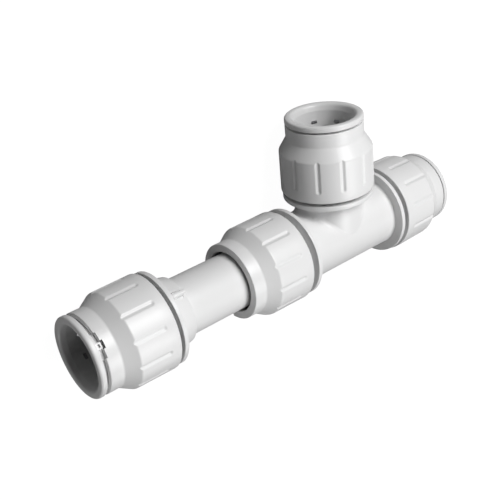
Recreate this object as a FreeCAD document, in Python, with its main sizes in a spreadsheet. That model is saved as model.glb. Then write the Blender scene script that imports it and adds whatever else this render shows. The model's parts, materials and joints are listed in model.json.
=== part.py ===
import FreeCAD, Part
import os

import Sketcher

# Push-fit slip tee for 22 mm pipe: a moulded tee with three pipe sockets and a sliding tail.
# Millimetres. +X runs along the straight run, +Y along the branch, +Z up.
# The tee lies on the skirts of its four screw caps; the origin is under the middle of the part.

# Driving sizes
SIZES = {
    "pipe_radius": 11.0,
    "pipe_clearance": 0.15,
    "tube_wall": 1.8,
    "running_gap": 0.1,
    "run_wall": 2.75,
    "branch_step": 0.4,
    "crease_round": 1.6,
    "slide_reach": 23.4,
    "run_end_reach": 25.6,
    "branch_reach": 19.2,
    "flange_step": 1.6,
    "flange_thickness": 1.8,
    "socket_depth": 9.45,
    "seal_section": 1.5,
    "seal_gap": 0.2,
    "seal_seat_gap": 0.05,
    "spacer_thickness": 3.5,
    "spacer_gap": 0.3,
    "spacer_chamfer": 0.5,
    "nose_wall": 1.1,
    "nose_lip": 0.9,
    "nose_chamfer": 0.4,
    "nose_reach": 4.2,
    "thread_step": 0.8,
    "locked_gap": 0.3,
    "cap_wall": 1.85,
    "skirt_flare": 0.2,
    "skirt_chamfer": 0.4,
    "cone_overlap": 1.1,
    "cone_length": 5.0,
    "neck_length": 5.2,
    "neck_wall": 1.95,
    "neck_chamfer": 0.25,
    "throat_step": 0.85,
    "lip_length": 1.5,
    "flute_count": 12,
    "flute_width": 2.3,
    "flute_depth": 0.6,
    "flute_start": 4.0,
    "recess_width": 9.2,
    "recess_depth": 0.7,
    "notch_side_gap": 0.3,
    "notch_end_gap": 0.2,
    "collet_clearance": 0.5,
    "collet_wall": 1.45,
    "collet_wall_gap": 0.15,
    "collet_rim_step": 0.05,
    "collet_rim_thickness": 2.2,
    "collet_rim_round": 0.9,
    "collet_back_chamfer": 0.25,
    "collet_mouth_flare": 1.5,
    "collet_mouth_depth": 2.6,
    "collet_end_gap": 0.45,
    "collet_out_gap": 1.6,
    "collet_in_gap": 0.15,
    "finger_count": 8,
    "finger_slot_width": 1.4,
    "finger_bridge": 2.4,
    "lug_width": 2.4,
    "lug_length": 2.3,
    "lug_inset": 0.15,
    "tooth_width": 2.2,
    "tooth_thickness": 0.45,
    "tooth_depth": 4.0,
    "tooth_lean": 1.1,
    "tooth_root": 1.1,
    "tooth_seat_gap": 0.03,
    "grip_ring_shoulder": 1.5,
    "grip_ring_end_gap": 0.3,
    "grip_ring_split": 1.5,
    "grip_ring_gap": 0.15,
    "slip_exposed": 25.1,
    "slip_tail": 20.0,
    "boss_length": 7.0,
    "boss_root_step": 3.0,
    "boss_end_step": 1.6,
    "boss_round": 0.5,
    "stop_lug_count": 4,
    "stop_lug_width": 2.5,
    "stop_lug_step": 3.9,
    "stop_lug_start": 2.0,
    "stop_lug_length": 4.2,
    "tail_chamfer": 0.8,
    "slip_end_open_gap": 1.8,
    "slide_seal_open_gap": 3.3,
    "branch_open_gap": 1.8,
    "run_end_open_gap": 1.8,
    "slip_end_collet_gap": 1.4,
    "branch_collet_gap": 0.8,
    "run_end_collet_gap": 0.4,
}

# Sizes that follow from the driving ones
RULES = {
    "waterway_radius": "Sizes.pipe_radius - Sizes.tube_wall",
    "socket_radius": "Sizes.pipe_radius + Sizes.pipe_clearance",
    "run_radius": "socket_radius + Sizes.run_wall",
    "branch_radius": "run_radius - Sizes.branch_step",
    "seal_inner_radius": "Sizes.pipe_radius + Sizes.seal_gap",
    "seal_ring_radius": "seal_inner_radius + Sizes.seal_section",
    "seal_bore_radius": "seal_ring_radius + Sizes.seal_section + Sizes.seal_seat_gap",
    "seal_centre": "Sizes.socket_depth + Sizes.seal_seat_gap + Sizes.seal_section",
    "spacer_inner_radius": "Sizes.pipe_radius + Sizes.spacer_gap",
    "spacer_outer_radius": "seal_bore_radius - Sizes.running_gap",
    "spacer_locked": "seal_centre + Sizes.seal_section + Sizes.running_gap",
    "spacer_start": "spacer_locked - Sizes.locked_gap",
    "spacer_end": "spacer_start + Sizes.spacer_thickness",
    "nose_radius": "seal_bore_radius + Sizes.nose_wall",
    "nose_length": "spacer_locked + Sizes.spacer_thickness + Sizes.nose_lip",
    "thread_radius": "nose_radius + Sizes.thread_step",
    "thread_length": "nose_length - Sizes.nose_reach",
    "flange_radius": "thread_radius + Sizes.flange_step",
    "nose_bore_radius": "nose_radius + Sizes.running_gap",
    "thread_bore_radius": "thread_radius + Sizes.running_gap",
    "grip_radius": "thread_bore_radius + Sizes.cap_wall",
    "skirt_radius": "grip_radius + Sizes.skirt_flare",
    "grip_length": "nose_length - Sizes.cone_overlap",
    "cone_end": "grip_length + Sizes.cone_length",
    "cap_length": "cone_end + Sizes.neck_length",
    "collet_bore_radius": "Sizes.pipe_radius + Sizes.collet_clearance",
    "collet_tube_radius": "collet_bore_radius + Sizes.collet_wall",
    "lip_radius": "collet_tube_radius + Sizes.collet_wall_gap",
    "lip_start": "cap_length - Sizes.lip_length",
    "neck_radius": "lip_radius + Sizes.neck_wall",
    "throat_radius": "lip_radius + Sizes.throat_step",
    "grip_ring_start": "spacer_end + Sizes.slide_seal_open_gap + Sizes.grip_ring_end_gap",
    "throat_length": "grip_ring_start + Sizes.grip_ring_shoulder - Sizes.locked_gap",
    "taper_length": "lip_start - throat_length",
    "grip_ring_length": "lip_start + Sizes.locked_gap - Sizes.grip_ring_end_gap - grip_ring_start",
    "grip_ring_taper": "grip_ring_length - Sizes.grip_ring_shoulder",
    "grip_ring_radius": "throat_radius - Sizes.grip_ring_gap",
    "grip_ring_end_radius": "grip_ring_radius - Sizes.throat_step * grip_ring_taper / taper_length",
    "grip_ring_inner_radius": "Sizes.pipe_radius + Sizes.running_gap",
    "flute_radius": "(Sizes.flute_width^2 / 4 + Sizes.flute_depth^2) / (2 * Sizes.flute_depth)",
    "flute_axis": "grip_radius - Sizes.flute_depth + flute_radius",
    "notch_width": "Sizes.lug_width + 2 * Sizes.notch_side_gap",
    "notch_depth": "Sizes.lug_length + Sizes.notch_end_gap",
    "collet_rim_radius": "neck_radius + Sizes.collet_rim_step",
    "collet_mouth_radius": "collet_bore_radius + Sizes.collet_mouth_flare",
    "collet_length": "cap_length + Sizes.collet_in_gap - spacer_end - Sizes.collet_end_gap",
    "barb_start": "Sizes.lip_length + Sizes.collet_out_gap",
    "barb_end": "barb_start + taper_length",
    "barb_radius": "throat_radius - Sizes.collet_wall_gap",
    "lug_outer_radius": "collet_rim_radius - Sizes.lug_inset",
    "tooth_tip_radius": "Sizes.pipe_radius + Sizes.seal_gap",
    "tooth_root_radius": "collet_bore_radius + Sizes.tooth_root",
    "boss_root_radius": "Sizes.pipe_radius + Sizes.boss_root_step",
    "boss_end_radius": "Sizes.pipe_radius + Sizes.boss_end_step",
    "stop_lug_radius": "Sizes.pipe_radius + Sizes.stop_lug_step",
    "slide_bore_end": "Sizes.slip_exposed - Sizes.slip_tail",
    "slide_cap_end": "Sizes.slide_reach + Sizes.slide_seal_open_gap + cap_length",
    "boss_end": "slide_cap_end + Sizes.slip_exposed",
    "slip_reach": "boss_end + Sizes.boss_length + Sizes.flange_thickness",
    "slip_end_face": "Sizes.slip_end_open_gap + cap_length + Sizes.slip_end_collet_gap",
    "run_end_face": "Sizes.run_end_open_gap + cap_length + Sizes.run_end_collet_gap",
    "branch_face": "Sizes.branch_open_gap + cap_length + Sizes.branch_collet_gap",
    "low_x": "-slip_reach - slip_end_face - Sizes.collet_rim_thickness",
    "high_x": "Sizes.run_end_reach + run_end_face + Sizes.collet_rim_thickness",
    "high_y": "Sizes.branch_reach + branch_face + Sizes.collet_rim_thickness",
    "cross_x": "-(low_x + high_x) / 2",
    "cross_y": "(skirt_radius - high_y) / 2",
    "cross_z": "skirt_radius",
}

# Ways that the arms point, with the turn of each cap's notch about its own arm
SLIP_END = {"name": "slip_end", "reach": "Derived.slip_reach", "way": "-x", "turn": -52.5}
SLIDE_SEAL = {"name": "slide_seal", "reach": "Sizes.slide_reach", "way": "-x", "turn": 161.5}
BRANCH = {"name": "branch", "reach": "Sizes.branch_reach", "way": "+y", "turn": 20.7}
RUN_END = {"name": "run_end", "reach": "Sizes.run_end_reach", "way": "+x", "turn": 208.7}
PUSH_FIT_ARMS = [SLIP_END, BRANCH, RUN_END]
STOP_LUG_TURN = 37.0

# The turn from the middle of a finger, where its tooth is, to the slot beside it
HALF_FINGER = "180 deg / Sizes.finger_count"

OVERRUN = 1.0
TOLERANCE = 0.001

doc = FreeCAD.newDocument("slip_tee")
pieces = []


def fill_sheet(name, cells):
    """A sheet with one named cell for each entry."""
    sheet = doc.addObject("Spreadsheet::Sheet", name)
    for row, alias in enumerate(cells, start=1):
        sheet.set(f"A{row}", alias)
        sheet.setAlias(f"B{row}", alias)
    for row, content in enumerate(cells.values(), start=1):
        sheet.set(f"B{row}", str(content))
    return sheet


def value(formula):
    return float(sizes.evalExpression(str(formula)))


def new_body(label):
    body = doc.addObject("PartDesign::Body", label)
    body.Label = label
    return body


def origin_feature(body, role):
    return next(item for item in body.Origin.OriginFeatures if item.Role == role)


def new_sketch(body, name, plane, offset=None, turn=None):
    """A sketch on one of the body's own origin planes, shifted in it or turned about its upright."""
    sketch = body.newObject("Sketcher::SketchObject", f"{body.Label}_{name}")
    sketch.AttachmentSupport = [(origin_feature(body, plane), "")]
    sketch.MapMode = "FlatFace"
    for axis, formula in (offset or {}).items():
        sketch.setExpression(f"AttachmentOffset.Base.{axis}", formula)
    if turn:
        upright = FreeCAD.Rotation(FreeCAD.Vector(0, 1, 0), value(turn))
        sketch.AttachmentOffset = FreeCAD.Placement(FreeCAD.Vector(), upright)
        sketch.setExpression("AttachmentOffset.Rotation.Angle", turn)
    return sketch


def draw_outline(sketch, corners):
    """A closed outline whose corners are pairs of formulas, each tied to the sheet."""
    points = [FreeCAD.Vector(value(across), value(along), 0) for across, along in corners]
    count = len(points)
    for index in range(count):
        sketch.addGeometry(Part.LineSegment(points[index], points[(index + 1) % count]))
    for index in range(count):
        sketch.addConstraint(Sketcher.Constraint("Coincident", index, 2, (index + 1) % count, 1))
    for index, corner in enumerate(corners):
        for kind, formula, place in zip(("DistanceX", "DistanceY"), corner, points[index]):
            row = sketch.addConstraint(Sketcher.Constraint(kind, -1, 1, index, 1, place))
            sketch.setExpression(f"Constraints[{row}]", str(formula))


def turn_outline(body, name, corners, plane="XZ_Plane", axis="V_Axis", cut=False, offset=None):
    """Turn an outline about an axis of its sketch: solid, or cut out of the body."""
    sketch = new_sketch(body, f"{name}_outline", plane, offset)
    draw_outline(sketch, corners)
    kind = "PartDesign::Groove" if cut else "PartDesign::Revolution"
    turned = body.newObject(kind, f"{body.Label}_{name}")
    turned.Profile = sketch
    turned.ReferenceAxis = (sketch, [axis])
    turned.Angle = 360
    return turned


def pad_outline(body, name, corners, width, plane="XZ_Plane", cut=False, turn=None):
    """Thicken an outline by the same amount on both sides of its plane, or cut it out."""
    sketch = new_sketch(body, f"{name}_outline", plane, turn=turn)
    draw_outline(sketch, corners)
    kind = "PartDesign::Pocket" if cut else "PartDesign::Pad"
    padded = body.newObject(kind, f"{body.Label}_{name}")
    padded.Profile = sketch
    padded.SideType = "Symmetric"
    padded.setExpression("Length", width)
    return padded


def repeat_round(body, feature, count, role="Z_Axis"):
    """Copies of a feature evenly round one of the body's axes."""
    pattern = body.newObject("PartDesign::PolarPattern", f"{feature.Name}_ring")
    pattern.Originals = [feature]
    pattern.Axis = (origin_feature(body, role), [""])
    pattern.Angle = 360
    pattern.setExpression("Occurrences", count)
    body.Tip = pattern
    return pattern


def round_edges(body, name, base, size, wanted):
    """Round the edges of a feature that a test picks out."""
    doc.recompute()
    chosen = [f"Edge{index}" for index, edge in enumerate(base.Shape.Edges, start=1) if wanted(edge)]
    fillet = body.newObject("PartDesign::Fillet", f"{body.Label}_{name}")
    fillet.Base = (base, chosen)
    fillet.setExpression("Radius", size)
    return fillet


def circle_at(radius, height, axis="z"):
    """A test for the full circles of one radius at one place along an axis."""

    def wanted(edge):
        curve = edge.Curve
        if not isinstance(curve, Part.Circle):
            return False
        near_radius = abs(curve.Radius - value(radius)) < TOLERANCE
        return near_radius and abs(getattr(curve.Center, axis) - value(height)) < TOLERANCE

    return wanted


def finish(body, tip):
    """Close a body on its last feature and keep it as one of the pieces."""
    body.Tip = tip
    pieces.append(body)
    return body


def arm_turn(arm):
    """Turn an arm's own +Z to the way that it points, then about itself."""
    ways = {
        "-x": (FreeCAD.Vector(0, 1, 0), FreeCAD.Vector(-1, 0, 0)),
        "+x": (FreeCAD.Vector(0, 1, 0), FreeCAD.Vector(1, 0, 0)),
        "+y": (FreeCAD.Vector(1, 0, 0), FreeCAD.Vector(0, 1, 0)),
    }
    across, along = ways[arm["way"]]
    facing = FreeCAD.Rotation(across, along.cross(across), along, "ZXY")
    about_itself = FreeCAD.Rotation(FreeCAD.Vector(0, 0, 1), arm["turn"])
    return facing.multiply(about_itself)


def place_on_arm(piece, arm, distance):
    """Stand a piece on its arm, at a distance outwards from the flange's outer face."""
    piece.Placement = FreeCAD.Placement(FreeCAD.Vector(), arm_turn(arm))
    out = f"({arm['reach']} + {distance})"
    along = {"-x": ("x", f"-{out}"), "+x": ("x", out), "+y": ("y", out)}
    axis, reach = along[arm["way"]]
    for name in ("x", "y", "z"):
        shift = f" + {reach}" if name == axis else ""
        piece.setExpression(f"Placement.Base.{name}", f"Derived.cross_{name}{shift}")


def place_on_cross(piece, turn=0.0):
    """Put a piece that is drawn about the crossing of the two axes in its place."""
    piece.Placement = FreeCAD.Placement(FreeCAD.Vector(), FreeCAD.Rotation(FreeCAD.Vector(1, 0, 0), turn))
    for name in ("x", "y", "z"):
        piece.setExpression(f"Placement.Base.{name}", f"Derived.cross_{name}")


def spigot_steps(reach, way):
    """Outside of one arm from its flange to its nose, as (along, radius) pairs outwards."""
    return [
        (f"{way}({reach} - Sizes.flange_thickness)", "Derived.flange_radius"),
        (f"{way}({reach})", "Derived.flange_radius"),
        (f"{way}({reach})", "Derived.thread_radius"),
        (f"{way}({reach} + Derived.thread_length)", "Derived.thread_radius"),
        (f"{way}({reach} + Derived.thread_length)", "Derived.nose_radius"),
        (f"{way}({reach} + Derived.nose_length - Sizes.nose_chamfer)", "Derived.nose_radius"),
        (f"{way}({reach} + Derived.nose_length)", "Derived.nose_radius - Sizes.nose_chamfer"),
        (f"{way}({reach} + Derived.nose_length)", "0"),
    ]


def socket_steps(reach, way, bore):
    """Inside of one arm from the bore behind its pipe stop to its open nose."""
    return [
        (f"{way}({reach})", bore),
        (f"{way}({reach})", "Derived.socket_radius"),
        (f"{way}({reach} + Sizes.socket_depth)", "Derived.socket_radius"),
        (f"{way}({reach} + Sizes.socket_depth)", "Derived.seal_bore_radius"),
        (f"{way}({reach} + Derived.nose_length + {OVERRUN})", "Derived.seal_bore_radius"),
        (f"{way}({reach} + Derived.nose_length + {OVERRUN})", "0"),
    ]


def swapped(corners):
    return [(across, along) for along, across in corners]


def make_tee_body():
    """The moulded tee: run, branch, three flanges with threaded spigots, and its waterways."""
    body = new_body("tee_body")
    slide_side = spigot_steps("Sizes.slide_reach", "-")
    run_side = spigot_steps("Sizes.run_end_reach", "")
    run_outline = (
        slide_side[::-1]
        + [("-(Sizes.slide_reach - Sizes.flange_thickness)", "Derived.run_radius")]
        + [("Sizes.run_end_reach - Sizes.flange_thickness", "Derived.run_radius")]
        + run_side
    )
    turn_outline(body, "run", run_outline, axis="H_Axis")
    branch_outline = [
        ("0", "0"),
        ("0", "Derived.branch_radius"),
        ("Sizes.branch_reach - Sizes.flange_thickness", "Derived.branch_radius"),
    ] + spigot_steps("Sizes.branch_reach", "")
    branch = turn_outline(body, "branch", swapped(branch_outline), plane="XY_Plane")
    crease = round_edges(body, "crease", branch, "Sizes.crease_round", is_crease)
    slide_bore = socket_steps("Sizes.slide_reach", "-", "Derived.socket_radius")
    run_bore = slide_bore[:1:-1] + [
        ("Derived.slide_bore_end", "Derived.socket_radius"),
        ("Derived.slide_bore_end", "Derived.waterway_radius"),
    ] + socket_steps("Sizes.run_end_reach", "", "Derived.waterway_radius")
    turn_outline(body, "run_bore", run_bore, axis="H_Axis", cut=True)
    branch_bore = [("0", "0"), ("0", "Derived.waterway_radius")]
    branch_bore += socket_steps("Sizes.branch_reach", "", "Derived.waterway_radius")
    bored = turn_outline(body, "branch_bore", swapped(branch_bore), plane="XY_Plane", cut=True)
    place_on_cross(body)
    return finish(body, bored)


def is_crease(edge):
    """The curved edge where the branch grows out of the run: neither a line nor a circle."""
    return not isinstance(edge.Curve, (Part.Line, Part.Circle))


def make_slip_body():
    """The sliding tail: a pipe socket, a tapered boss with stop lugs, and a plain tube."""
    body = new_body("slip_body")
    outline = spigot_steps("Derived.slip_reach", "-")[::-1] + [
        ("-(Derived.slip_reach - Sizes.flange_thickness)", "Derived.boss_root_radius"),
        ("-Derived.boss_end", "Derived.boss_end_radius"),
        ("-Derived.boss_end", "Sizes.pipe_radius"),
        ("-(Sizes.slip_tail + Sizes.tail_chamfer)", "Sizes.pipe_radius"),
        ("-Sizes.slip_tail", "Sizes.pipe_radius - Sizes.tail_chamfer"),
        ("-Sizes.slip_tail", "0"),
    ]
    turned = turn_outline(body, "shape", outline, axis="H_Axis")
    rim = circle_at("Derived.boss_end_radius", "-Derived.boss_end", axis="x")
    rounded = round_edges(body, "boss_round", turned, "Sizes.boss_round", rim)
    lug_low = "-(Derived.slip_reach - Sizes.flange_thickness - Sizes.stop_lug_start)"
    lug_high = f"{lug_low} + Sizes.stop_lug_length"
    lug_outline = [
        (lug_low, "Sizes.pipe_radius"),
        (lug_high, "Sizes.pipe_radius"),
        (lug_high, "Derived.stop_lug_radius"),
        (lug_low, "Derived.stop_lug_radius"),
    ]
    lug = pad_outline(body, "stop_lug", lug_outline, "Sizes.stop_lug_width")
    repeat_round(body, lug, "Sizes.stop_lug_count", role="X_Axis")
    bore = [
        (f"-(Sizes.slip_tail - {OVERRUN})", "0"),
        (f"-(Sizes.slip_tail - {OVERRUN})", "Derived.waterway_radius"),
    ] + socket_steps("Derived.slip_reach", "-", "Derived.waterway_radius")
    bored = turn_outline(body, "bore", bore, axis="H_Axis", cut=True)
    place_on_cross(body, STOP_LUG_TURN)
    return finish(body, bored)


def make_cap(arm):
    """A screw cap: fluted grip, cone and neck, threaded inside, with a notch for the collet's lug."""
    body = new_body(f"{arm['name']}_cap")
    outline = [
        ("Derived.thread_bore_radius", "0"),
        ("Derived.skirt_radius - Sizes.skirt_chamfer", "0"),
        ("Derived.skirt_radius", "Sizes.skirt_chamfer"),
        ("Derived.grip_radius", "Derived.grip_length"),
        ("Derived.neck_radius", "Derived.cone_end"),
        ("Derived.neck_radius", "Derived.cap_length - Sizes.neck_chamfer"),
        ("Derived.neck_radius - Sizes.neck_chamfer", "Derived.cap_length"),
        ("Derived.lip_radius", "Derived.cap_length"),
        ("Derived.lip_radius", "Derived.lip_start"),
        ("Derived.throat_radius", "Derived.throat_length"),
        ("Derived.throat_radius", "Derived.nose_length"),
        ("Derived.nose_bore_radius", "Derived.nose_length"),
        ("Derived.nose_bore_radius", "Derived.thread_length"),
        ("Derived.thread_bore_radius", "Derived.thread_length"),
    ]
    turn_outline(body, "shape", outline)
    cut_neck_notch(body, "recess", "Sizes.recess_width", "Sizes.recess_depth")
    cut_neck_notch(body, "notch", "Derived.notch_width", "Derived.notch_depth")
    tip = cut_flutes(body)
    place_on_arm(body, arm, f"Sizes.{arm['name']}_open_gap")
    return finish(body, tip)


def cut_neck_notch(body, name, width, depth):
    """A notch of one width and depth through the neck's end, on the cap's own +X side."""
    outline = [
        ("Derived.lip_radius / 2", f"Derived.cap_length - {depth}"),
        ("Derived.skirt_radius", f"Derived.cap_length - {depth}"),
        ("Derived.skirt_radius", f"Derived.cap_length + {OVERRUN}"),
        ("Derived.lip_radius / 2", f"Derived.cap_length + {OVERRUN}"),
    ]
    return pad_outline(body, name, outline, width, cut=True)


def cut_flutes(body):
    """Flutes along the grip, half a pitch from the notch, that run out to a point near the skirt."""
    half_pitch = "180 deg / Sizes.flute_count"
    tip = "Sizes.flute_start - (Derived.flute_radius - Sizes.flute_depth)"
    far_end = "Derived.grip_length + Sizes.cone_length"
    corners = [
        ("0", tip),
        ("Derived.flute_radius", f"{tip} + Derived.flute_radius"),
        ("Derived.flute_radius", far_end),
        ("0", far_end),
    ]
    place = {
        "x": f"Derived.flute_axis * cos({half_pitch})",
        "z": f"Derived.flute_axis * sin({half_pitch})",
    }
    flute = turn_outline(body, "flute", corners, cut=True, offset=place)
    return repeat_round(body, flute, "Sizes.flute_count")


def make_collet(arm):
    """A grip collet: rounded rim with a lug, and slit fingers that end in a barb."""
    body = new_body(f"{arm['name']}_collet")
    outline = [
        ("Derived.collet_mouth_radius", "Sizes.collet_rim_thickness"),
        ("Derived.collet_rim_radius", "Sizes.collet_rim_thickness"),
        ("Derived.collet_rim_radius", "Sizes.collet_back_chamfer"),
        ("Derived.collet_rim_radius - Sizes.collet_back_chamfer", "0"),
        ("Derived.collet_tube_radius", "0"),
        ("Derived.collet_tube_radius", "-Derived.barb_start"),
        ("Derived.barb_radius", "-Derived.barb_end"),
        ("Derived.barb_radius", "-Derived.collet_length"),
        ("Derived.collet_bore_radius", "-Derived.collet_length"),
        ("Derived.collet_bore_radius", "Sizes.collet_rim_thickness - Sizes.collet_mouth_depth"),
    ]
    turned = turn_outline(body, "shape", outline)
    front_edge = circle_at("Derived.collet_rim_radius", "Sizes.collet_rim_thickness")
    round_edges(body, "rim_round", turned, "Sizes.collet_rim_round", front_edge)
    lug_outline = [
        ("Derived.collet_tube_radius - Sizes.collet_wall_gap", "Sizes.collet_back_chamfer"),
        ("Derived.collet_tube_radius - Sizes.collet_wall_gap", "-Sizes.lug_length"),
        ("Derived.lug_outer_radius", "-Sizes.lug_length"),
        ("Derived.lug_outer_radius", "Sizes.collet_back_chamfer"),
    ]
    pad_outline(body, "lug", lug_outline, "Sizes.lug_width")
    slot_outline = [
        ("Sizes.pipe_radius / 2", "-Sizes.finger_bridge"),
        ("Sizes.pipe_radius / 2", f"-(Derived.collet_length + {OVERRUN})"),
        ("Derived.neck_radius", f"-(Derived.collet_length + {OVERRUN})"),
        ("Derived.neck_radius", "-Sizes.finger_bridge"),
    ]
    width = "Sizes.finger_slot_width"
    slot = pad_outline(body, "finger_slot", slot_outline, width, cut=True, turn=HALF_FINGER)
    repeat_round(body, slot, "Sizes.finger_count")
    tip = cut_tooth_seats(body)
    place_on_arm(body, arm, f"Derived.{arm['name']}_face")
    return finish(body, tip)


def tooth_outline(margin):
    """A thin blade that leans inwards from its root in the finger to its tip at the pipe."""
    back = f"-(Sizes.tooth_depth - Sizes.tooth_thickness / 2 - {margin})"
    front = f"-(Sizes.tooth_depth + Sizes.tooth_thickness / 2 + {margin})"
    return [
        (f"Derived.tooth_root_radius + {margin}", back),
        ("Derived.tooth_tip_radius", f"{back} - Sizes.tooth_lean"),
        ("Derived.tooth_tip_radius", f"{front} - Sizes.tooth_lean"),
        (f"Derived.tooth_root_radius + {margin}", front),
    ]


def cut_tooth_seats(body):
    """A seat in the middle of each finger that a tooth is set in."""
    width = "Sizes.tooth_width + 2 * Sizes.tooth_seat_gap"
    seat = pad_outline(body, "tooth_seat", tooth_outline("Sizes.tooth_seat_gap"), width, cut=True)
    return repeat_round(body, seat, "Sizes.finger_count")


def make_teeth(arm):
    """The ring of steel teeth that one collet carries."""
    body = new_body(f"{arm['name']}_teeth")
    body.AllowCompound = True
    tooth = pad_outline(body, "tooth", tooth_outline("0"), "Sizes.tooth_width")
    tip = repeat_round(body, tooth, "Sizes.finger_count")
    place_on_arm(body, arm, f"Derived.{arm['name']}_face")
    return finish(body, tip)


def make_spacer(arm):
    """The ring between the seal and the collet, which follows the cap inwards."""
    body = new_body(f"{arm['name']}_spacer")
    outline = [
        ("Derived.spacer_inner_radius", "0"),
        ("Derived.spacer_outer_radius", "0"),
        ("Derived.spacer_outer_radius", "Sizes.spacer_thickness"),
        ("Derived.spacer_inner_radius + Sizes.spacer_chamfer", "Sizes.spacer_thickness"),
        ("Derived.spacer_inner_radius", "Sizes.spacer_thickness - Sizes.spacer_chamfer"),
    ]
    tip = turn_outline(body, "shape", outline)
    place_on_arm(body, arm, f"Derived.spacer_start + Sizes.{arm['name']}_open_gap")
    return finish(body, tip)


def make_o_ring(arm):
    """The rubber seal at the bottom of the counterbore."""
    ring = doc.addObject("Part::Torus", f"{arm['name']}_o_ring")
    ring.Label = ring.Name
    ring.setExpression("Radius1", "Derived.seal_ring_radius")
    ring.setExpression("Radius2", "Sizes.seal_section")
    place_on_arm(ring, arm, "Derived.seal_centre")
    pieces.append(ring)
    return ring


def make_grip_ring(arm):
    """The split ring that the sliding tail runs in, tapered to the cap's throat."""
    body = new_body(f"{arm['name']}_grip_ring")
    outline = [
        ("Derived.grip_ring_inner_radius", "0"),
        ("Derived.grip_ring_radius", "0"),
        ("Derived.grip_ring_radius", "Sizes.grip_ring_shoulder"),
        ("Derived.grip_ring_end_radius", "Derived.grip_ring_length"),
        ("Derived.grip_ring_inner_radius", "Derived.grip_ring_length"),
    ]
    turn_outline(body, "shape", outline)
    split_outline = [
        ("Sizes.pipe_radius / 2", f"-{OVERRUN}"),
        ("Derived.neck_radius", f"-{OVERRUN}"),
        ("Derived.neck_radius", f"Derived.grip_ring_length + {OVERRUN}"),
        ("Sizes.pipe_radius / 2", f"Derived.grip_ring_length + {OVERRUN}"),
    ]
    tip = pad_outline(body, "split", split_outline, "Sizes.grip_ring_split", cut=True)
    place_on_arm(body, arm, "Derived.grip_ring_start")
    return finish(body, tip)


def check_document():
    """Stop if any object failed, or any piece has no sound shape."""
    for item in doc.Objects:
        if {"Invalid", "Error"} & set(item.State):
            raise ValueError(f"{item.Label} failed: {item.State}")
    for piece in pieces:
        if piece.Shape.isNull() or not piece.Shape.isValid():
            raise ValueError(f"{piece.Label} has no sound shape")


def write_pieces():
    os.makedirs("parts", exist_ok=True)
    for piece in pieces:
        piece.Shape.exportStep(f"parts/{piece.Label}.step")
        print(f"{piece.Label}: {len(piece.Shape.Solids)} solid(s), {piece.Shape.Volume:.1f} mm3")


sizes = fill_sheet("Sizes", SIZES)
derived = fill_sheet("Derived", {name: f"={rule}" for name, rule in RULES.items()})
doc.recompute()

make_tee_body()
make_slip_body()
for arm in PUSH_FIT_ARMS + [SLIDE_SEAL]:
    make_cap(arm)
    make_spacer(arm)
    make_o_ring(arm)
for arm in PUSH_FIT_ARMS:
    make_collet(arm)
    make_teeth(arm)
make_grip_ring(SLIDE_SEAL)
doc.recompute()
check_document()
write_pieces()
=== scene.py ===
# %% [markdown]
# # A push-fit slip tee
# This lesson dresses the solids of a plastic pipe tee for a picture. The solids come packed, with
# their places and joints. They stay the fixed frame, and every piece made here rides on one of their
# bodies, so that the caps still turn and the tail still slides.
#
# Everything stands in metres at the end. Small moulded parts are easier to think about in
# millimetres, so each piece is drawn in millimetres about its own axis, and scaled once, when it is
# put on its arm.

# %% Load the solids
import json
import math

import bmesh
import bpy
from mathutils import Matrix, Vector

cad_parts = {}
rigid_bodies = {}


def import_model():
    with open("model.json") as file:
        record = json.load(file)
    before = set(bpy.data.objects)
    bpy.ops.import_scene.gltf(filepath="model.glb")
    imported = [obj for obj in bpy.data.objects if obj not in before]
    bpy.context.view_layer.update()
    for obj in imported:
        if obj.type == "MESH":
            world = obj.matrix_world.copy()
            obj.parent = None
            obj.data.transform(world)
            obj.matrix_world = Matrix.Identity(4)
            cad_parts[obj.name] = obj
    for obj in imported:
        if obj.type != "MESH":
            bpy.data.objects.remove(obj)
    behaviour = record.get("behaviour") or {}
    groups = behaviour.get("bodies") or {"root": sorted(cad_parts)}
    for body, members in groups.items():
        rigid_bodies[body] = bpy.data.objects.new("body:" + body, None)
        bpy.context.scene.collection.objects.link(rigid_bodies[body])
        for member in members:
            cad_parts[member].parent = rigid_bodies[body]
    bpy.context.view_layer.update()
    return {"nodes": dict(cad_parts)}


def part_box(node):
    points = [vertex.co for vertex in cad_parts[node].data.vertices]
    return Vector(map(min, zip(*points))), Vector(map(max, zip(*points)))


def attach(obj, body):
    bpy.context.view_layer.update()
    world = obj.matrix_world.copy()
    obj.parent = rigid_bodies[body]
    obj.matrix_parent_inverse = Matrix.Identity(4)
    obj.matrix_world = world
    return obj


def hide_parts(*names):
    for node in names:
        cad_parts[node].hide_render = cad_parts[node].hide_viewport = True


for leftover in list(bpy.data.objects):
    bpy.data.objects.remove(leftover)
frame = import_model()
nodes = frame["nodes"]
MM = 0.001
scene = bpy.context.scene

# %% [markdown]
# ## The arms
# Four screw caps sit on three straight arms and a branch. An arm is a place and a way: its own +Z
# points out of the fitting, and its own +X points at the notch in the cap. With a matrix for each
# arm, one cap mesh can be drawn once and put in four places. The places are read from the solids,
# so that they never differ from them.

# %% Arms and the crossing of the axes
RUN_WAY = Vector((1, 0, 0))
BRANCH_WAY = Vector((0, 1, 0))
NOTCH_ANGLES = {"slip_end": -52.5, "slide_seal": 161.5, "branch": 20.7, "run_end": 208.7}
ARM_WAYS = {"slip_end": -RUN_WAY, "slide_seal": -RUN_WAY, "branch": BRANCH_WAY, "run_end": RUN_WAY}


def middle(node):
    """The middle of a node's box."""
    low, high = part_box(node)
    return (low + high) / 2


crossing = Vector((middle("branch_spacer").x, middle("run_end_spacer").y, middle("run_end_spacer").z))


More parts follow.
